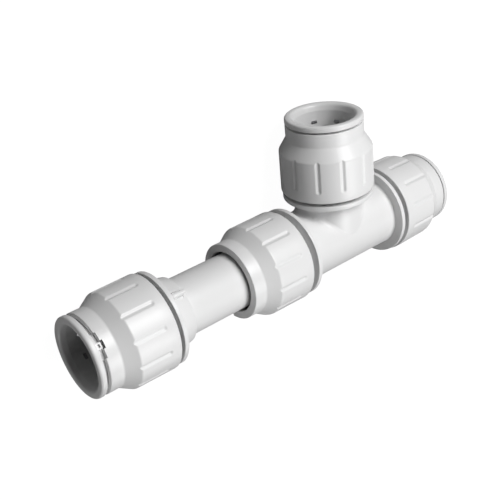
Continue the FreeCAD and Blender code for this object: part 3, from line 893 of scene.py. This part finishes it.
# %% [markdown]
# ## The sliding tail
# The tail is one moulding: a spigot with its flange, a tapered boss with two stop lugs, and a plain
# tube that goes into the run. It is turned as a ring, because its bore goes right through. A stop lug
# is a flat outline given a width, with a small pocket on each side of it, and a node tree sets the
# lugs evenly round the boss.

# %% The turned tail
SLIP_REACH = 86.7
BOSS_END = 77.9
BOSS_ROOT_RADIUS = 14.0
BOSS_END_RADIUS = 12.6
BOSS_ROUND = 0.4
PIPE_RADIUS = 11.0
PIPE_END_ROUND = 0.8
TAIL_END = 20.0
WATERWAY = 9.2
EDGE_ROUND = 0.2

flange_back = SLIP_REACH - FLANGE_THICKNESS
tail_corners = (
    [(PIPE_RADIUS, TAIL_END, PIPE_END_ROUND), (PIPE_RADIUS, BOSS_END, EDGE_ROUND)]
    + [(BOSS_END_RADIUS, BOSS_END, BOSS_ROUND), (BOSS_ROOT_RADIUS, flange_back, BOSS_ROUND)]
    + spigot_outside(SLIP_REACH)
    + spigot_inside(SLIP_REACH)
    + [(WATERWAY, SLIP_REACH, EDGE_ROUND), (WATERWAY, TAIL_END, EDGE_ROUND)]
)
tail = turned("tail", rounded(tail_corners))
print("turned tail faces:", len(tail.data.polygons))

# %% The stop lugs
LUG_RADIUS = 14.9
LUG_WIDTH = 1.5
LUG_START = 78.0
LUG_TOP_END = 83.0
LUG_ROUND = 0.45
LUG_COUNT = 2
LUG_FOOT = 11.5


def ridge_block(name, outline, width, round_by, across=0.0):
    """A flat outline of (radius, along) points, given a width across +X, with rounded edges."""
    count = len(outline)
    points = [(r, across + side * width / 2, along) for side in (-1, 1) for r, along in outline]
    faces = [tuple(range(count)), tuple(range(2 * count - 1, count - 1, -1))]
    faces += [(i, count + i, count + (i + 1) % count, (i + 1) % count) for i in range(count)]
    made = mesh_object(name, points, faces)
    if round_by:
        shell = bmesh.new()
        shell.from_mesh(made.data)
        soften(shell, round_by)
        shell.to_mesh(made.data)
        shell.free()
    return made


lug_tree, lug_in = new_tree("repeated_round", {"Count": "Int"})
all_lugs = repeated_round(lug_tree, lug_in["Geometry"], lug_in["Count"])
finish_tree(lug_tree, all_lugs, FINISHES["white_plastic"])

lug_outline = [
    (LUG_FOOT, LUG_START),
    (LUG_RADIUS, LUG_START),
    (LUG_RADIUS, LUG_TOP_END),
    (BOSS_ROOT_RADIUS, flange_back),
    (LUG_FOOT, flange_back),
]
lugs = run_tree(ridge_block("lugs", lug_outline, LUG_WIDTH, LUG_ROUND), lug_tree, {"Count": LUG_COUNT})
print("stop lugs:", LUG_COUNT)

# %% The pockets beside the lugs
LUG_POCKET_WIDTH = 0.9
LUG_POCKET_START = 78.9
LUG_POCKET_END = 84.0
LUG_POCKET_FLOOR = 12.4

pocket_top = LUG_RADIUS + OVER
pocket_outline = [
    (LUG_POCKET_FLOOR, LUG_POCKET_START),
    (pocket_top, LUG_POCKET_START),
    (pocket_top, LUG_POCKET_END),
    (LUG_POCKET_FLOOR, LUG_POCKET_END),
]
pocket_across = (LUG_WIDTH + LUG_POCKET_WIDTH) / 2
pocket = ridge_block("pockets", pocket_outline, LUG_POCKET_WIDTH, 0.0, pocket_across)
other_pocket = ridge_block("other_pocket", pocket_outline, LUG_POCKET_WIDTH, 0.0, -pocket_across)
pockets = run_tree(combined("pockets", pocket, added=[other_pocket]), lug_tree, {"Count": LUG_COUNT})
print("pockets:", 2 * LUG_COUNT)

# %% The whole tail
LUG_TURN = 37.0
tail_thread = thread_on(SLIP_REACH, Matrix.Identity(4))
tail = combined("tail", tail, added=[lugs, tail_thread], cut=[pockets])


def along_run(way, turn=0.0):
    """The matrix of a piece drawn about the crossing, its own +Z along the run."""
    axes = Matrix((BRANCH_WAY, way.cross(BRANCH_WAY), way)).transposed()
    turned_axes = axes @ Matrix.Rotation(math.radians(turn), 3, "Z")
    return Matrix.Translation(crossing) @ turned_axes.to_4x4()


settle(tail, along_run(-RUN_WAY, -LUG_TURN), "white_plastic")
dress(tail, "slip", "slip_body")
print("tail faces:", len(tail.data.polygons))

# %% [markdown]
# ## The tee
# The run and the branch are two turned solids. Where they meet, a mould leaves a small round, and it
# isn't the same all the way: the branch is nearly as wide as the run, so the round fades out at the
# sides. A ball that rolls in the corner of two cylinders gives it exactly. Its centre lies on both
# cylinders grown by the ball's radius, and it touches each of them straight below that centre.

# %% The run, turned about its axis
RUN_RADIUS = 13.9
SLIDE_REACH = 23.4
RUN_END_REACH = 25.6
FLANGE_FILLET = 0.5
TEE_COLUMNS = 192
tee_angles = [math.tau * step / TEE_COLUMNS for step in range(TEE_COLUMNS)]


def mirrored(corners):
    """The same corners on the other side of the crossing."""
    return [(r, -along, size) for r, along, size in reversed(corners)]


run_corners = (
    [(0.0, -(SLIDE_REACH + NOSE_LENGTH), 0.0)]
    + mirrored(spigot_outside(SLIDE_REACH))
    + [(RUN_RADIUS, -(SLIDE_REACH - FLANGE_THICKNESS), FLANGE_FILLET)]
    + [(RUN_RADIUS, RUN_END_REACH - FLANGE_THICKNESS, FLANGE_FILLET)]
    + spigot_outside(RUN_END_REACH)
    + [(0.0, RUN_END_REACH + NOSE_LENGTH, 0.0)]
)
run_solid = turned("run", rounded(run_corners, closed=False), tee_angles)
print("run faces:", len(run_solid.data.polygons))

# %% The branch, with the rolling-ball round at its foot
BRANCH_RADIUS = 13.5
BRANCH_REACH = 19.2
CREASE_ROUND = 2.4
BALL_SINK = 0.006
ARC_STEPS = 10
INSIDE_SHARE = 0.9
PLAIN_WALL = 2.0


def foot_column(turn):
    """Points of one column from inside the run up to where the branch wall is plain."""
    cosine, sine = math.cos(turn), math.sin(turn)
    out = BRANCH_RADIUS + CREASE_ROUND
    reach = RUN_RADIUS + CREASE_ROUND - BALL_SINK
    ball = Vector((out * cosine, math.sqrt(reach ** 2 - (out * sine) ** 2), out * sine))
    on_branch = Vector((BRANCH_RADIUS * cosine, ball.y, BRANCH_RADIUS * sine))
    run_share = 1 - CREASE_ROUND / math.hypot(ball.y, ball.z)
    on_run = Vector((ball.x, ball.y * run_share, ball.z * run_share))
    return [on_run * INSIDE_SHARE] + arc(ball, on_run - ball, on_branch - ball, CREASE_ROUND, ARC_STEPS)


def branch_solid():
    """The branch along +Y with its flange, spigot and foot."""
    wall_end = BRANCH_REACH - FLANGE_THICKNESS
    wall = [(BRANCH_RADIUS, wall_end - PLAIN_WALL, 0.0), (BRANCH_RADIUS, wall_end, FLANGE_FILLET)]
    upper = rounded(wall + spigot_outside(BRANCH_REACH), closed=False)
    points = [Vector((0, 0, 0)), Vector((0, BRANCH_REACH + NOSE_LENGTH, 0))]
    rows = ARC_STEPS + 2 + len(upper)
    for turn in tee_angles:
        points += foot_column(turn)
        points += [Vector((r * math.cos(turn), along, r * math.sin(turn))) for r, along in upper]
    faces = []
    for column in range(TEE_COLUMNS):
        here, beside = 2 + column * rows, 2 + ((column + 1) % TEE_COLUMNS) * rows
        faces.append((0, here, beside))
        faces += [(here + row, here + row + 1, beside + row + 1, beside + row) for row in range(rows - 1)]
        faces.append((1, beside + rows - 1, here + rows - 1))
    return mesh_object("branch", points, faces)


print("round where the branch meets the run:", CREASE_ROUND, "mm")

# %% [markdown]
# The bores are one solid for the run and one for the branch, cut when the walls and the threads are
# joined. The sliding side has no pipe stop, because the tail goes on through it, so the cutter's
# corner at the stop is left out there.

# %% Bores, threads and the whole tee
SLIDE_BORE_END = 5.1
UP_THE_BRANCH = Matrix(((0, 1, 0), (0, 0, 1), (1, 0, 0))).to_4x4()
ALONG_THE_RUN = Matrix(((0, 0, 1), (1, 0, 0), (0, 1, 0))).to_4x4()
BACK_ALONG = Matrix(((0, 0, -1), (1, 0, 0), (0, -1, 0))).to_4x4()

run_bore_corners = (
    mirrored(spigot_bore(SLIDE_REACH)[1:])
    + [(SOCKET_RADIUS, SLIDE_BORE_END, 0.0), (WATERWAY, SLIDE_BORE_END, 0.0)]
    + [(WATERWAY, RUN_END_REACH, 0.0)]
    + spigot_bore(RUN_END_REACH)
)
branch_bore_corners = [(0.0, 0.0, 0.0), (WATERWAY, 0.0, 0.0), (WATERWAY, BRANCH_REACH, 0.0)]
branch_bore_corners += spigot_bore(BRANCH_REACH)

run_solid.data.transform(ALONG_THE_RUN)
run_bore = turned("run_bore", rounded(run_bore_corners, closed=False))
run_bore.data.transform(ALONG_THE_RUN)
branch_bore = turned("branch_bore", rounded(branch_bore_corners, closed=False))
branch_bore.data.transform(UP_THE_BRANCH)
threads = [
    thread_on(SLIDE_REACH, BACK_ALONG),
    thread_on(RUN_END_REACH, ALONG_THE_RUN),
    thread_on(BRANCH_REACH, UP_THE_BRANCH),
]
tee = combined("tee", run_solid, added=[branch_solid()] + threads, cut=[run_bore, branch_bore])
settle(tee, Matrix.Translation(crossing), "white_plastic")
dress(tee, "tee", "tee_body")
print("tee faces:", len(tee.data.polygons))

# %% [markdown]
# ## The collets
# A collet is a rim that is pushed to let the pipe go, and eight springy fingers that hold the steel
# teeth. The ring is turned, and a node tree saws the slots between the fingers and the seats of the
# teeth. The lug on the rim's back sits in the notch of the cap. It is a hollow box, as the
# photograph shows.

# %% Collet ring
COLLET_BORE = 11.5
COLLET_TUBE = 12.95
COLLET_LENGTH = 10.0
COLLET_ROUND = 0.25
RIM_RADIUS = 15.1
RIM_THICKNESS = 2.2
RIM_ROUND = 0.9
MOUTH_RADIUS = 12.2
MOUTH_DEPTH = 2.6
MOUTH_ROUND = 1.5
MOUTH_END_ROUND = 0.15
BARB_START = 3.1
BARB_END = 7.1
BARB_RADIUS = 13.8
BARB_ROUND = 0.3

collet_corners = [
    (MOUTH_RADIUS, RIM_THICKNESS, MOUTH_ROUND),
    (RIM_RADIUS, RIM_THICKNESS, RIM_ROUND),
    (RIM_RADIUS, 0.0, COLLET_ROUND),
    (COLLET_TUBE, 0.0, 0.0),
    (COLLET_TUBE, -BARB_START, BARB_ROUND),
    (BARB_RADIUS, -BARB_END, BARB_ROUND),
    (BARB_RADIUS, -COLLET_LENGTH, COLLET_ROUND),
    (COLLET_BORE, -COLLET_LENGTH, COLLET_ROUND),
    (COLLET_BORE, RIM_THICKNESS - MOUTH_DEPTH, MOUTH_END_ROUND),
]
collet_ring = turned("collet", rounded(collet_corners))
print("collet ring faces:", len(collet_ring.data.polygons))

# %% The tree that saws the slots and the seats
collet_tree, collet_in = new_tree("slit_collet", {
    "Fingers": "Int", "Slot size": "Vector", "Slot place": "Vector",
    "Seat size": "Vector", "Seat place": "Vector", "Seat lean": "Float",
})
slot_tool = cutter_block(collet_tree, collet_in["Slot size"], collet_in["Slot place"])
slots = repeated_round(collet_tree, slot_tool, collet_in["Fingers"], first_turn=0.5)
seat_block = cutter_block(collet_tree, collet_in["Seat size"], collet_in["Seat place"])
seat_spot = node_in(collet_tree, "GeometryNodeInputPosition").outputs[0]
seat_across = node_in(collet_tree, "ShaderNodeSeparateXYZ", {0: seat_spot}).outputs["X"]
seat_middle = node_in(collet_tree, "ShaderNodeSeparateXYZ", {0: collet_in["Seat place"]}).outputs["X"]
seat_offset = sums(collet_tree, "SUBTRACT", seat_across, seat_middle)
seat_rise = sums(collet_tree, "MULTIPLY", seat_offset, collet_in["Seat lean"])
seat_shift = node_in(collet_tree, "ShaderNodeCombineXYZ", {"Z": seat_rise}).outputs[0]
seat_tool = node_in(collet_tree, "GeometryNodeSetPosition", {
    "Geometry": seat_block, "Offset": seat_shift,
}).outputs[0]
seats = repeated_round(collet_tree, seat_tool, collet_in["Fingers"])
slit = cut_away(collet_tree, cut_away(collet_tree, collet_in["Geometry"], [slots]), [seats])
finish_tree(collet_tree, slit, FINISHES["collet_plastic"])
print("nodes in the collet's tree:", len(collet_tree.nodes))

# %% The hollow lug
COLLET_LUG_RADIUS = 14.2
COLLET_LUG_WIDTH = 2.4
COLLET_LUG_LENGTH = 2.3
COLLET_LUG_ROUND = 0.12
LUG_SINK_IN_RIM = 0.25
LUG_SINK_IN_TUBE = 0.15
HOLLOW_SIZE = (2.4, 1.2, 1.1)
HOLLOW_OUT = 0.2

lug_height = COLLET_LUG_LENGTH + LUG_SINK_IN_RIM
lug_reach = COLLET_LUG_RADIUS - COLLET_TUBE + LUG_SINK_IN_TUBE
collet_lug = block(
    "collet_lug",
    (lug_reach, COLLET_LUG_WIDTH, lug_height),
    (COLLET_LUG_RADIUS - lug_reach / 2, 0, LUG_SINK_IN_RIM - lug_height / 2),
    COLLET_LUG_ROUND,
)
lug_hollow = block("lug_hollow", HOLLOW_SIZE, (COLLET_LUG_RADIUS + HOLLOW_OUT, 0, -COLLET_LUG_LENGTH / 2))
collet_moulding = combined("collet", collet_ring, added=[collet_lug], cut=[lug_hollow])
print("collet faces with its lug:", len(collet_moulding.data.polygons))

# %% The slots and the seats of the teeth
FINGERS = 8
FINGER_BRIDGE = 6.6
SLOT_WIDTH = 1.4
TOOTH_DEPTH = 4.0
TOOTH_WIDTH = 2.2
TOOTH_SEAT_GAP = 0.03
TOOTH_WINDOW = 1.1
TOOTH_ROOT_RADIUS = 12.6
TOOTH_LEAN = 1.1
TOOTH_TIP_RADIUS = 11.2

slot_length = COLLET_LENGTH + OVER - FINGER_BRIDGE
slot_depth = BARB_RADIUS + OVER - COLLET_BORE / 2
seat_depth = TOOTH_ROOT_RADIUS + TOOTH_SEAT_GAP - TOOTH_TIP_RADIUS
seat_size = (seat_depth, TOOTH_WIDTH + 2 * TOOTH_SEAT_GAP, TOOTH_WINDOW)
seat_place = (TOOTH_TIP_RADIUS + seat_depth / 2, 0.0, -TOOTH_DEPTH - TOOTH_LEAN / 2)
first_collet = run_tree(collet_moulding, collet_tree, {
    "Fingers": FINGERS,
    "Slot size": (slot_depth, SLOT_WIDTH, slot_length),
    "Slot place": (COLLET_BORE / 2 + slot_depth / 2, 0.0, -FINGER_BRIDGE - slot_length / 2),
    "Seat size": seat_size,
    "Seat place": seat_place,
    "Seat lean": TOOTH_LEAN / seat_depth,
})
first_collet.data.transform(Matrix.Translation((0, 0, -RIM_THICKNESS)))
print("collet faces:", len(first_collet.data.polygons))

# %% A collet on each push-fit arm
PUSH_FIT_ARMS = ("slip_end", "branch", "run_end")

for arm in PUSH_FIT_ARMS:
    collet = bpy.data.objects.new(f"{arm}_collet_moulding", first_collet.data.copy())
    scene.collection.objects.link(collet)
    settle(collet, on_arm(arm, f"{arm}_collet", "outer"), "collet_plastic")
    dress(collet, f"{arm}_grip", f"{arm}_collet")
    print(arm, "has its collet")
bpy.data.objects.remove(first_collet)

# %% [markdown]
# ## The pieces that stay as they are
# The seals, the loose rings and the steel teeth have the right shape already. They only need their
# finish.

# %% Finishes of the kept solids
KEPT_FINISHES = {
    "_o_ring": "seal_rubber",
    "_teeth": "tooth_steel",
    "_spacer": "ring_plastic",
    "_grip_ring": "ring_plastic",
}
for name, item in nodes.items():
    if item.hide_render:
        continue
    finish = next(finish for ending, finish in KEPT_FINISHES.items() if name.endswith(ending))
    for place in item.material_slots:
        place.material = FINISHES[finish]
    print(name, "is", finish)
